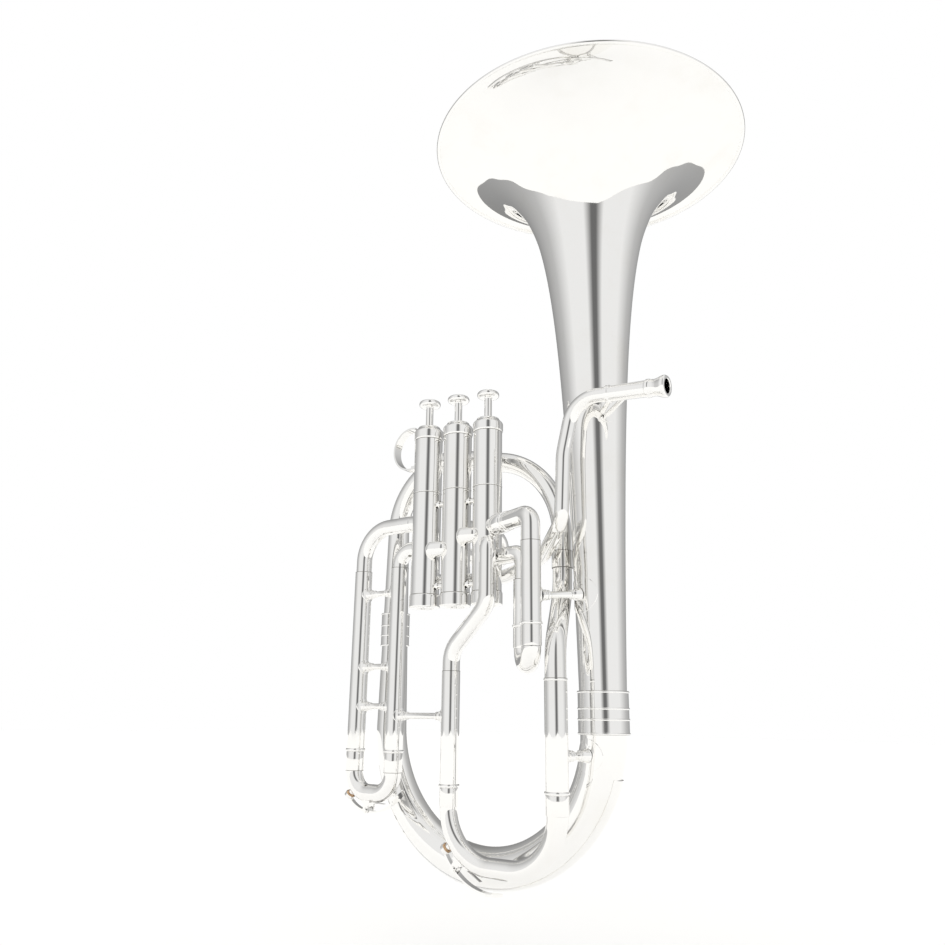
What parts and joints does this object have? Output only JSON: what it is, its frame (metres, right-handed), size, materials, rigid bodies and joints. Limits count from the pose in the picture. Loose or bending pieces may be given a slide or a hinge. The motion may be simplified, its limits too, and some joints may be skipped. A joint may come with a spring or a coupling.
{
  "type": "euphonium",
  "caption": "Upright three-valve brass horn with a wide bell facing up, piston valves, pull-out tuning slides, water keys, leadpipe and mouthpiece receiver",
  "frame": {"origin": "centre of the bell mouth in the plane of its rim", "axes": "+Z out of the bell, along its axis and the longest extent; X along the valve row with the mouthpiece on +X; -Y is the side that the valve slides stand on"},
  "size_m": [0.3701, 0.2802, 0.6372],
  "materials": {
    "silver_plate": "mirror-polished silver plate over brass",
    "silver_slide": "mirror-polished silver plate on drawn slide tube",
    "piston_metal": "honed nickel alloy",
    "guide_brass": "machined brass",
    "spring_steel": "drawn wire",
    "felt": "pressed felt",
    "cork": "natural cork"
  },
  "bodies": {
    "horn": {"bell": "silver_plate", "bell_braces": "silver_plate", "bell_garland": "silver_plate", "bell_rim_wire": "silver_plate", "bottom_bow": "silver_plate", "bottom_cap_1": "silver_plate", "bottom_cap_2": "silver_plate", "bottom_cap_3": "silver_plate", "bow_guard": "silver_plate", "branch_ferrules": "silver_plate", "casing_studs": "silver_plate", "finger_ring": "silver_plate", "first_slide_tubes": "silver_plate", "leadpipe": "silver_plate", "left_branch": "silver_plate", "mouthpiece_receiver": "silver_plate", "right_branch": "silver_plate", "second_slide_tubes": "silver_plate", "slide_braces": "silver_plate", "third_slide_tubes": "silver_plate", "top_bow": "silver_plate", "top_cap_1": "silver_plate", "top_cap_2": "silver_plate", "top_cap_3": "silver_plate", "tuning_left_tube": "silver_plate", "tuning_right_leg": "silver_plate", "valve_casing_1": "silver_plate", "valve_casing_2": "silver_plate", "valve_casing_3": "silver_plate", "valve_guides": "guide_brass", "valve_knuckles": "silver_plate"},
    "valve_1": {"finger_button_1": "silver_plate", "piston_1": "piston_metal", "stem_felts_1": "felt", "valve_spring_1": "spring_steel", "valve_stem_1": "silver_plate"},
    "valve_2": {"finger_button_2": "silver_plate", "piston_2": "piston_metal", "stem_felts_2": "felt", "valve_spring_2": "spring_steel", "valve_stem_2": "silver_plate"},
    "valve_3": {"finger_button_3": "silver_plate", "piston_3": "piston_metal", "stem_felts_3": "felt", "valve_spring_3": "spring_steel", "valve_stem_3": "silver_plate"},
    "first_slide_body": {"first_slide": "silver_slide"},
    "main_slide_body": {"main_tuning_slide": "silver_slide", "water_key_pin_main": "silver_plate", "water_key_saddle_main": "silver_plate", "water_key_spring_main": "spring_steel"},
    "second_slide_body": {"second_slide": "silver_slide"},
    "third_slide_body": {"third_slide": "silver_slide", "water_key_pin_third": "silver_plate", "water_key_saddle_third": "silver_plate", "water_key_spring_third": "spring_steel"},
    "main_key": {"water_key_cork_main": "cork", "water_key_lever_main": "silver_plate"},
    "third_key": {"water_key_cork_third": "cork", "water_key_lever_third": "silver_plate"}
  },
  "joints": [
    {"name": "valve_1_press", "type": "slide", "parent": "horn", "child": "valve_1", "axis": [0, 0, -1], "range_m": [0, 0.0158], "stiffness_N_per_m": 110, "springref_m": -0.02, "deforming": ["valve_spring_1"]},
    {"name": "valve_2_press", "type": "slide", "parent": "horn", "child": "valve_2", "axis": [0, 0, -1], "range_m": [0, 0.0158], "stiffness_N_per_m": 110, "springref_m": -0.02, "deforming": ["valve_spring_2"]},
    {"name": "valve_3_press", "type": "slide", "parent": "horn", "child": "valve_3", "axis": [0, 0, -1], "range_m": [0, 0.0158], "stiffness_N_per_m": 110, "springref_m": -0.02, "deforming": ["valve_spring_3"]},
    {"name": "main_slide_pull", "type": "slide", "parent": "horn", "child": "main_slide_body", "axis": [0, 0, -1], "range_m": [0, 0.065]},
    {"name": "third_slide_pull", "type": "slide", "parent": "horn", "child": "third_slide_body", "axis": [0, 0, -1], "range_m": [0, 0.1]},
    {"name": "first_slide_pull", "type": "slide", "parent": "horn", "child": "first_slide_body", "axis": [0, 0, -1], "range_m": [0, 0.028]},
    {"name": "second_slide_pull", "type": "slide", "parent": "horn", "child": "second_slide_body", "axis": [0, 1, 0], "range_m": [0, 0.018]},
    {"name": "main_key_press", "type": "hinge", "parent": "main_slide_body", "child": "main_key", "pos_m": [-0.10188, -0.05, -0.61309], "axis": [0, -1, 0], "range_deg": [0, 9], "stiffness_Nm_per_rad": 0.05, "springref_deg": -28.65},
    {"name": "third_key_press", "type": "hinge", "parent": "third_slide_body", "child": "third_key", "pos_m": [-0.20325, -0.04, -0.5796], "axis": [0, -1, 0], "range_deg": [0, 7], "stiffness_Nm_per_rad": 0.05, "springref_deg": -28.65}
  ]
}
